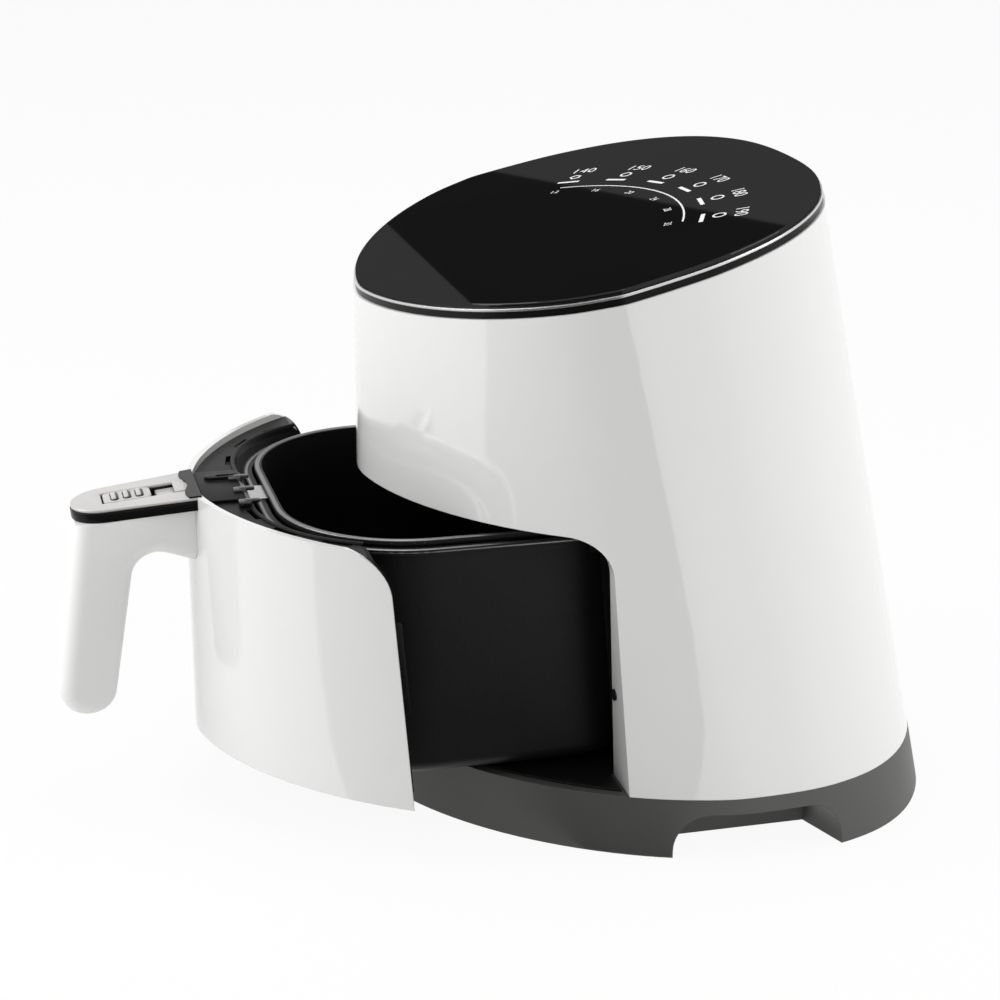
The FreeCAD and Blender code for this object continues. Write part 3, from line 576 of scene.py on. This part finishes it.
@dataclass
class Lid:
    """The slanted glass with its bevel and its printed scale, in metres and degrees."""

    bench: Workbench
    finishes: Finishes
    bevel: float = 0.0006
    print_height: float = 0.00012
    arc_centre: Vector = Vector((0.018, -0.115))
    first_turn: float = 137.5
    last_turn: float = 65.0
    stations: int = 6
    heat_first: int = 140
    heat_step: int = 10
    heat_ring: float = 0.1325
    heat_height: float = 0.0094
    time_first: int = 12
    time_step: int = 4
    time_ring: float = 0.0985
    time_height: float = 0.0052
    blot_ring: float = 0.1225
    blot_radius: float = 0.0034
    blot_line: float = 0.3
    blot_sides: int = 5
    blot_sides_step: int = 3
    stroke_ring: float = 0.1145
    stroke_width: float = 0.0021
    stroke_length: float = 0.0125
    line_ring: float = 0.1055
    line_width: float = 0.0009
    line_length: float = 0.0040
    line_steps: int = 36

    def build(self) -> None:
        """Builds the lid."""
        f = self.finishes
        self.bench.refined("glass_panel", Body.HOUSING, f.glass, "black_glass", bevel=self.bevel,
                           angle=50.0, smooth=12.0)
        self.bench.refined("glass_edge", Body.HOUSING, f.silver, "silver_trim")
        self.scale()

    def on_glass(self, spot: Vector, turn: float) -> Matrix:
        """The place of a mark on the glass.

        Args:
            spot: Its distance to the right and its depth, measured level.
            turn: Its direction on the glass.

        Returns:
            The matrix that lays a flat mark there.
        """
        up = Vector((0.0, -math.sin(LID_TILT), math.cos(LID_TILT)))
        on_plane = Vector((spot.x, spot.y, LID_HEIGHT + math.tan(LID_TILT) * spot.y))
        place = Matrix.Translation(on_plane + up * (LID_TOP + self.print_height))
        return place @ Matrix.Rotation(LID_TILT, 4, "X") @ Matrix.Rotation(turn, 4, "Z")

    def scale(self) -> None:
        """Prints a plain arc of stations, each with two numbers, a mark and a stroke."""
        marks: list[bpy.types.Object] = []
        span = self.last_turn - self.first_turn
        for i in range(self.stations):
            turn = math.radians(self.first_turn + span * i / (self.stations - 1))
            across = turn - math.pi / 2.0
            heat = str(self.heat_first + self.heat_step * i)
            spot = self.round_spot(turn, self.heat_ring)
            marks.append(self.number(heat, spot, across, self.heat_height))
            sides = self.blot_sides + self.blot_sides_step * i
            marks.append(self.blot(self.round_spot(turn, self.blot_ring), turn, self.blot_radius, sides))
            spot = self.round_spot(turn, self.stroke_ring)
            marks.append(self.tick(spot, across, self.stroke_width, self.stroke_length))
            time = str(self.time_first + self.time_step * i)
            spot = self.round_spot(turn, self.time_ring)
            marks.append(self.number(time, spot, across, self.time_height))
        for i in range(self.line_steps):
            turn = math.radians(self.first_turn + span * (i + 0.5) / self.line_steps)
            spot = self.round_spot(turn, self.line_ring)
            marks.append(self.tick(spot, turn + math.pi / 2.0, self.line_width, self.line_length))
        legend = self.bench.joined("lid_scale", marks)
        self.bench.settle(legend, Body.HOUSING, self.finishes.print_white, "white_shell")

    def round_spot(self, turn: float, radius: float) -> Vector:
        """A point on the legend's arc.

        Args:
            turn: The angle, from the right.
            radius: The distance from the arc's centre.

        Returns:
            The point, measured level.
        """
        return self.arc_centre + Vector((math.cos(turn), math.sin(turn))) * radius

    def blot(self, spot: Vector, turn: float, radius: float, sides: int) -> bpy.types.Object:
        """Adds one small ring with straight sides.

        Args:
            spot: Its middle on the glass.
            turn: Its direction.
            radius: Its radius.
            sides: The number of its sides.

        Returns:
            The mark.
        """
        bpy.ops.object.select_all(action="DESELECT")
        bpy.ops.mesh.primitive_circle_add(vertices=sides, radius=radius, fill_type="NGON")
        mark = bpy.context.object
        bpy.ops.object.mode_set(mode="EDIT")
        bpy.ops.mesh.select_all(action="SELECT")
        bpy.ops.mesh.inset(thickness=self.blot_line * radius)
        bpy.ops.mesh.delete(type="FACE")
        bpy.ops.object.mode_set(mode="OBJECT")
        return self.bench.put(mark, self.on_glass(spot, turn))

    def tick(self, spot: Vector, turn: float, width: float, length: float) -> bpy.types.Object:
        """Adds one flat stroke.

        Args:
            spot: Its middle on the glass.
            turn: Its direction.
            width: Its width.
            length: Its length.

        Returns:
            The stroke.
        """
        bpy.ops.object.select_all(action="DESELECT")
        bpy.ops.mesh.primitive_plane_add(size=1.0)
        size = Matrix.Diagonal((length, width, 1.0, 1.0))
        return self.bench.put(bpy.context.object, self.on_glass(spot, turn) @ size)

    def number(self, figures: str, spot: Vector, turn: float, height: float) -> bpy.types.Object:
        """Adds one printed number.

        Args:
            figures: The number's figures.
            spot: Its middle on the glass.
            turn: Its direction.
            height: The height of its figures.

        Returns:
            The number as a flat mesh.
        """
        bpy.ops.object.select_all(action="DESELECT")
        bpy.ops.object.text_add()
        number = bpy.context.object
        number.data.body = figures
        number.data.size = height
        number.data.align_x = "CENTER"
        number.data.align_y = "CENTER"
        bpy.ops.object.convert(target="MESH")
        return self.bench.put(bpy.context.object, self.on_glass(spot, turn))


@dataclass
class Drawer:
    """The pan, the basket, the front and the frame between them, in metres."""

    bench: Workbench
    finishes: Finishes
    pulled_out: float = 0.0852
    half: float = 0.1
    front: float = -0.1313
    back: float = 0.052
    front_corner: float = 0.07
    back_corner: float = 0.048
    rim_radius: float = 0.0015
    pan_rim_outset: float = -0.0014
    pan_rim_level: float = 0.1489
    basket_rim_outset: float = -0.0070
    basket_rim_level: float = 0.1518
    lip_outset: float = 0.0054
    lip_radius: float = 0.0011
    lip_end: float = -0.1765
    finger_corner_share: float = 0.48
    slot_shares: Vector = Vector((0.38, 0.6, 3.0))
    slot_corner_share: float = 0.18
    slot_shift_share: float = 0.12
    bed_shares: Vector = Vector((1.5, 1.02))
    bed_corner_share: float = 0.4
    bed_height: float = 0.0004
    bed_lift: float = 0.0001
    catch_places: tuple[float, ...] = (-0.008, 0.011, 0.030)
    catch: Bar = Bar("catch", (0.0058, 0.0062, 0.0030), 0.0012, 0.0005, (0.0, -0.0036, 0.0014))
    hook: Bar = Bar("hook", (0.0034, 0.0074, 0.0016), 0.0008, 0.0004, (0.0, -0.0002, 0.0026))
    catch_bar: Bar = Bar("catch_bar", (0.042, 0.0022, 0.0018), 0.0008, 0.0005, (0.0, -0.0012, 0.0012))
    strip_at: Vector = Vector((0.1185, -0.1692, 0.1010))
    strip_size: Vector = Vector((0.0030, 0.0064, 0.0450))
    strip_corner: float = 0.0012
    strip_bevel: float = 0.0011
    edge_slope: float = 0.085

    def build(self) -> None:
        """Builds and dresses the drawer."""
        f = self.finishes
        self.bench.refined("drawer_front", Body.DRAWER, f.white, "white_shell")
        self.bench.refined("drawer_frame", Body.DRAWER, f.frame_grey, "dark_frame")
        self.bench.refined("pan", Body.DRAWER, f.coated, "coated_steel")
        self.bench.refined("basket", Body.DRAWER, f.coated, "coated_steel")
        self.bench.refined("bridge_plate", Body.DRAWER, f.frame_grey, "dark_frame", bevel=0.0003)
        self.bench.dress(["basket_clip"], f.steel)
        self.bench.dress(["handle_screw_left", "handle_screw_right"], f.steel)
        self.rims()
        self.finger()
        self.catches()
        self.strips()

    def ring(self, name: str, outset: float, level: float, radius: float) -> bpy.types.Object:
        """Rolls a bead parallel to the pan's outer edge.

        Args:
            name: The piece's name.
            outset: How far outside the pan's edge it runs.
            level: Its height.
            radius: The bead's radius.

        Returns:
            The bead.
        """
        return self.bench.bead(name, self.half + outset, self.front - outset - self.pulled_out,
                               self.back + outset - self.pulled_out, self.front_corner + outset,
                               self.back_corner + outset, level, radius)

    def rims(self) -> None:
        """Adds the rolled rims of the pan and the basket and the lip of the frame round them."""
        f = self.finishes
        rim = self.ring("pan_rim_bead", self.pan_rim_outset, self.pan_rim_level, self.rim_radius)
        self.bench.settle(rim, Body.DRAWER, f.rim, "coated_steel")
        rim = self.ring("basket_rim_bead", self.basket_rim_outset, self.basket_rim_level, self.rim_radius)
        self.bench.settle(rim, Body.DRAWER, f.rim, "coated_steel")
        lip = self.ring("frame_lip", self.lip_outset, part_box("drawer_frame")[1].z, self.lip_radius)
        bpy.ops.object.mode_set(mode="EDIT")
        bpy.ops.mesh.select_all(action="DESELECT")
        bpy.ops.object.mode_set(mode="OBJECT")
        for vertex in lip.data.vertices:
            vertex.select = vertex.co.y > self.lip_end
        bpy.ops.object.mode_set(mode="EDIT")
        bpy.ops.mesh.delete(type="VERT")
        bpy.ops.object.mode_set(mode="OBJECT")
        self.bench.settle(lip, Body.DRAWER, f.frame_grey, "dark_frame")

    def finger(self) -> None:
        """Builds the latch finger with its open slot."""
        low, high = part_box("latch_finger")
        size = high - low
        centre = (low + high) / 2.0
        finger = self.bench.bar("latch_bar", size, self.finger_corner_share * size.x, front_only=True)
        slot = self.bench.bar("slot", self.slot_shares * size, self.slot_corner_share * size.x)
        self.bench.put(slot, Matrix.Translation((0.0, self.slot_shift_share * size.y, 0.0)))
        self.bench.hollowed(finger, slot)
        self.bench.put(finger, Matrix.Translation(centre))
        self.bench.settle(finger, Body.DRAWER, self.finishes.frame_grey, "dark_frame", ["latch_finger"])
        bed_size = (self.bed_shares.x * size.x, self.bed_shares.y * size.y, self.bed_height)
        bed = self.bench.bar("latch_bed", bed_size, self.bed_corner_share * size.x)
        self.bench.put(bed, Matrix.Translation((centre.x, centre.y, low.z + self.bed_lift)))
        self.bench.settle(bed, Body.DRAWER, self.finishes.black, "black_plastic")

    def catches(self) -> None:
        """Adds the row of small catches between the bridge plate and the pan."""
        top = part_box("drawer_frame")[1].z
        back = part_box("bridge_plate")[1].y
        parts = []
        for x in self.catch_places:
            place = Matrix.Translation((x, back, top))
            parts.append(self.bench.laid_bar(self.catch, place))
            parts.append(self.bench.laid_bar(self.hook, place))
        middle = Matrix.Translation((self.catch_places[1], back, top))
        parts.append(self.bench.laid_bar(self.catch_bar, middle))
        catches = self.bench.joined("frame_catches", parts)
        self.bench.settle(catches, Body.DRAWER, self.finishes.catch_black, "dark_frame")

    def strips(self) -> None:
        """Adds the guide strip that stands out behind each edge of the drawer front."""
        lean = Matrix.Rotation(math.atan(self.edge_slope), 4, "X")
        for name, side in (("guide_strip_right", 1.0), ("guide_strip_left", -1.0)):
            strip = self.bench.bar(name, self.strip_size, self.strip_corner, bevel=self.strip_bevel)
            place = Vector((side * self.strip_at.x, self.strip_at.y, self.strip_at.z))
            self.bench.put(strip, Matrix.Translation(place) @ lean)
            self.bench.settle(strip, Body.DRAWER, self.finishes.frame_grey, "dark_frame")


@dataclass
class Handle:
    """The grip, its black band and the plate with the guard and the button, in metres."""

    bench: Workbench
    finishes: Finishes
    root_half: float = 0.0215
    taper: float = 0.1
    cap_depth: float = 0.0058
    cap_wave: float = 0.0012
    cap_half_waves: float = 1.5
    cap_steps: int = 32
    cap_thickness: float = 0.0008
    cap_lift: float = 0.0006
    guard_middle: float = -0.0338
    guard_body: Bar = Bar("guard_body", (0.0143, 0.0228, 0.0018), 0.0026, 0.0003, (0.0, 0.0, -0.0010))
    rib_spacing: float = 0.0060
    # A black strip of painted shade under each rib, standing for the shade that falls in its groove.
    groove_shade: Bar = Bar("groove_shade", (0.0114, 0.0040, 0.0004), 0.0018, 0.0001)
    rib: Bar = Bar("rib", (0.0100, 0.0022, 0.0012), 0.0010, 0.0003, (0.0, -0.0004, 0.0003))
    cover: Bar = Bar("window_end", (0.0168, 0.0056, 0.0004), 0.0012, 0.0001, (0.0, 0.0, 0.0002))
    cover_at: float = -0.0085

    def build(self) -> None:
        """Builds and dresses the handle."""
        f = self.finishes
        self.bench.refined("handle_grip", Body.DRAWER, f.grip_white, "white_shell")
        self.bench.refined("handle_trim", Body.DRAWER, f.black, "black_plastic", bevel=0.0006)
        self.bench.refined("handle_top_plate", Body.DRAWER, f.plate, "grey_plate", bevel=0.0006)
        self.bench.refined("release_button", Body.BUTTON, f.plate, "grey_plate", bevel=0.0008)
        self.slider()
        self.root_cap()
        self.window_end()

    def on_top(self, y: float, z: float = 0.0) -> Matrix:
        """A place on the middle line of the handle's sloping top.

        Args:
            y: The distance from the root, negative towards the tip.
            z: The height over the plate.

        Returns:
            The matrix that lays a flat piece there.
        """
        slope = Matrix.Translation(HANDLE_ROOT) @ Matrix.Rotation(HANDLE_TILT, 4, "X")
        return slope @ Matrix.Translation((0.0, y, z))

    def slider(self) -> None:
        """Builds the guard with its three ribs, each over a black strip of painted shade that stands for
        the shade in its groove.
        """
        f = self.finishes
        body = self.bench.laid_bar(self.guard_body, self.on_top(self.guard_middle))
        self.bench.settle(body, Body.GUARD, f.plate, "grey_plate", ["guard_slider"])
        groove_shades = []
        ribs = []
        for i in (-1, 0, 1):
            place = self.on_top(self.guard_middle + self.rib_spacing * i)
            groove_shades.append(self.bench.laid_bar(self.groove_shade, place))
            ribs.append(self.bench.laid_bar(self.rib, place))
        # The black strips are painted shade for the grooves, not a black part.
        dark = self.bench.joined("guard_groove_shade", groove_shades)
        self.bench.settle(dark, Body.GUARD, f.black, "black_plastic")
        raised = self.bench.joined("guard_ribs", ribs)
        self.bench.settle(raised, Body.GUARD, f.plate, "grey_plate")

    def root_cap(self) -> None:
        """Builds the black end of the plate, with a wavy edge."""
        bpy.ops.object.select_all(action="DESELECT")
        bpy.ops.mesh.primitive_grid_add(x_subdivisions=self.cap_steps, y_subdivisions=1, size=1.0)
        cap = bpy.context.object
        cap.name = "root_cap"
        for vertex in cap.data.vertices:
            across = 2.0 * vertex.co.x
            if vertex.co.y < 0.0:
                depth = -self.cap_depth + self.cap_wave * math.cos(self.cap_half_waves * math.pi * across)
            else:
                depth = 0.0
            half = self.root_half + depth * self.taper
            vertex.co = Vector((across * half, depth, 0.0))
        body = cap.modifiers.new("body", "SOLIDIFY")
        body.thickness = self.cap_thickness
        bpy.ops.object.modifier_apply(modifier="body")
        self.bench.put(cap, self.on_top(0.0, self.cap_lift))
        self.bench.settle(cap, Body.DRAWER, self.finishes.black, "black_plastic")

    def window_end(self) -> None:
        """Covers the end of the guard's window, which the guard slides under."""
        cover = self.bench.laid_bar(self.cover, self.on_top(self.cover_at))
        self.bench.settle(cover, Body.DRAWER, self.finishes.plate, "grey_plate")


@dataclass(frozen=True)
class Lamp:
    """A soft box: where it stands, its width and height in metres and its power in watts."""

    name: str
    place: Point
    width: float
    height: float
    power: float


@dataclass(frozen=True)
class Card:
    """A dark card and its four corners, the first two along one edge and the others opposite."""

    name: str
    corners: tuple[Point, Point, Point, Point]


@dataclass
class Studio:
    """The floor, the lights, the cards and the camera, in metres, with the lens in millimetres."""

    camera_at: Vector = Vector((1.061536, -0.361693, 0.503335))
    target: Vector = Vector((0.0, -0.092373, 0.136897))
    lens: float = 82.8
    sensor: float = 36.0
    far_limit: float = 50.0
    floor_size: float = 12.0
    floor_colour: tuple[float, ...] = (0.8, 0.8, 0.8, 1.0)
    floor_glow: float = 0.93
    world_light: float = 0.62
    card_colour: tuple[float, ...] = (0.02, 0.02, 0.02, 1.0)
    card_roughness: float = 0.9
    lamp_aim: Vector = Vector((0.0, -0.05, 0.15))
    lid_card: Card = Card("lid_card", ((-1.5, -0.056, 0.510), (-1.5, 0.106, 1.004),
                                       (-1.5, 0.643, 1.082), (-1.5, 0.418, 1.631)))
    table_card: Card = Card("table_card", ((0.12, -1.4, 0.001), (1.6, -1.4, 0.001),
                                           (0.12, -0.045, 0.001), (1.6, -0.045, 0.001)))
    lamps: tuple[Lamp, ...] = (Lamp("key", (-0.25, -1.9, 1.1), 1.2, 1.6, 26.0),
                               Lamp("fill", (1.0, 1.8, 1.0), 1.2, 1.4, 22.0),
                               Lamp("top", (-0.1, -0.1, 2.0), 1.2, 1.2, 10.0))

    def build(self) -> None:
        """Sets up the studio."""
        self.floor()
        self.world()
        self.put_up(self.lid_card)
        self.put_up(self.table_card)
        for lamp in self.lamps:
            self.light(lamp)
        self.camera()

    def put_up(self, plan: Card) -> None:
        """Puts up a dark card that is only seen in glossy surfaces.

        Args:
            plan: The card.
        """
        bpy.ops.object.select_all(action="DESELECT")
        bpy.ops.mesh.primitive_plane_add(size=1.0)
        card = bpy.context.object
        card.name = plan.name
        for vertex, corner in zip(card.data.vertices, plan.corners):
            vertex.co = Vector(corner)
        material = bpy.data.materials.new(plan.name)
        material.use_nodes = True
        shader = material.node_tree.nodes["Principled BSDF"]
        shader.inputs["Base Color"].default_value = self.card_colour
        shader.inputs["Roughness"].default_value = self.card_roughness
        card.data.materials.append(material)
        card.visible_camera = False
        card.visible_diffuse = False
        card.visible_transmission = False
        card.visible_shadow = False

    def camera(self) -> None:
        """Places the camera at the photograph's view."""
        data = bpy.data.cameras.new("view")
        data.sensor_width = self.sensor
        data.lens = self.lens
        data.clip_end = self.far_limit
        camera = bpy.data.objects.new("view", data)
        camera.location = self.camera_at
        camera.rotation_euler = (self.target - self.camera_at).to_track_quat("-Z", "Y").to_euler()
        bpy.context.scene.collection.objects.link(camera)
        bpy.context.scene.camera = camera

    def floor(self) -> None:
        """Lays a pale floor that keeps a soft shadow."""
        bpy.ops.object.select_all(action="DESELECT")
        bpy.ops.mesh.primitive_plane_add(size=self.floor_size, location=(0.0, 0.0, 0.0))
        floor = bpy.context.object
        floor.name = "studio_floor"
        material = bpy.data.materials.new("studio_floor")
        material.use_nodes = True
        tree = material.node_tree
        tree.nodes.clear()
        out = tree.nodes.new("ShaderNodeOutputMaterial")
        mix = tree.nodes.new("ShaderNodeMixShader")
        paint = tree.nodes.new("ShaderNodeBsdfDiffuse")
        paint.inputs["Color"].default_value = self.floor_colour
        glow = tree.nodes.new("ShaderNodeEmission")
        glow.inputs["Color"].default_value = (1.0, 1.0, 1.0, 1.0)
        share = tree.nodes.new("ShaderNodeMath")
        share.operation = "MULTIPLY"
        share.inputs[1].default_value = self.floor_glow
        tree.links.new(self.seen(tree), share.inputs[0])
        tree.links.new(share.outputs[0], mix.inputs["Fac"])
        tree.links.new(paint.outputs[0], mix.inputs[1])
        tree.links.new(glow.outputs[0], mix.inputs[2])
        tree.links.new(mix.outputs[0], out.inputs["Surface"])
        floor.data.materials.append(material)

    def seen(self, tree: bpy.types.NodeTree) -> bpy.types.NodeSocket:
        """Tells rays that see the background from those that light the object.

        Args:
            tree: The nodes to add to.

        Returns:
            A socket that is 1 for camera, glossy and transmitted rays.
        """
        path = tree.nodes.new("ShaderNodeLightPath")
        first = tree.nodes.new("ShaderNodeMath")
        first.operation = "MAXIMUM"
        second = tree.nodes.new("ShaderNodeMath")
        second.operation = "MAXIMUM"
        tree.links.new(path.outputs["Is Camera Ray"], first.inputs[0])
        tree.links.new(path.outputs["Is Glossy Ray"], first.inputs[1])
        tree.links.new(first.outputs[0], second.inputs[0])
        tree.links.new(path.outputs["Is Transmission Ray"], second.inputs[1])
        return second.outputs[0]

    def world(self) -> None:
        """Gives even light from all round and a white background."""
        world = bpy.data.worlds.new("studio")
        bpy.context.scene.world = world
        world.use_nodes = True
        tree = world.node_tree
        tree.nodes.clear()
        out = tree.nodes.new("ShaderNodeOutputWorld")
        mix = tree.nodes.new("ShaderNodeMixShader")
        light = tree.nodes.new("ShaderNodeBackground")
        light.inputs["Strength"].default_value = self.world_light
        white = tree.nodes.new("ShaderNodeBackground")
        white.inputs["Color"].default_value = (1.0, 1.0, 1.0, 1.0)
        white.inputs["Strength"].default_value = 1.0
        tree.links.new(self.seen(tree), mix.inputs["Fac"])
        tree.links.new(light.outputs[0], mix.inputs[1])
        tree.links.new(white.outputs[0], mix.inputs[2])
        tree.links.new(mix.outputs[0], out.inputs["Surface"])
        bpy.context.scene.view_settings.view_transform = "Standard"

    def light(self, plan: Lamp) -> None:
        """Adds one soft box.

        Args:
            plan: The lamp.
        """
        data = bpy.data.lights.new(plan.name, "AREA")
        data.shape = "RECTANGLE"
        data.size = plan.width
        data.size_y = plan.height
        data.energy = plan.power
        lamp = bpy.data.objects.new(plan.name, data)
        lamp.location = plan.place
        lamp.rotation_euler = (self.lamp_aim - Vector(plan.place)).to_track_quat("-Z", "Y").to_euler()
        bpy.context.scene.collection.objects.link(lamp)


def main() -> None:
    """Builds the fryer and its studio in order."""
    logging.basicConfig(level=logging.INFO)
    finishes = Finishes()
    bench = Workbench(finishes)
    builders: list[Callable[[], None]] = [
        Housing(bench, finishes).build,
        Lid(bench, finishes).build,
        Drawer(bench, finishes).build,
        Handle(bench, finishes).build,
        Studio().build,
    ]
    for build in builders:
        build()


if __name__ == "__main__":
    main()
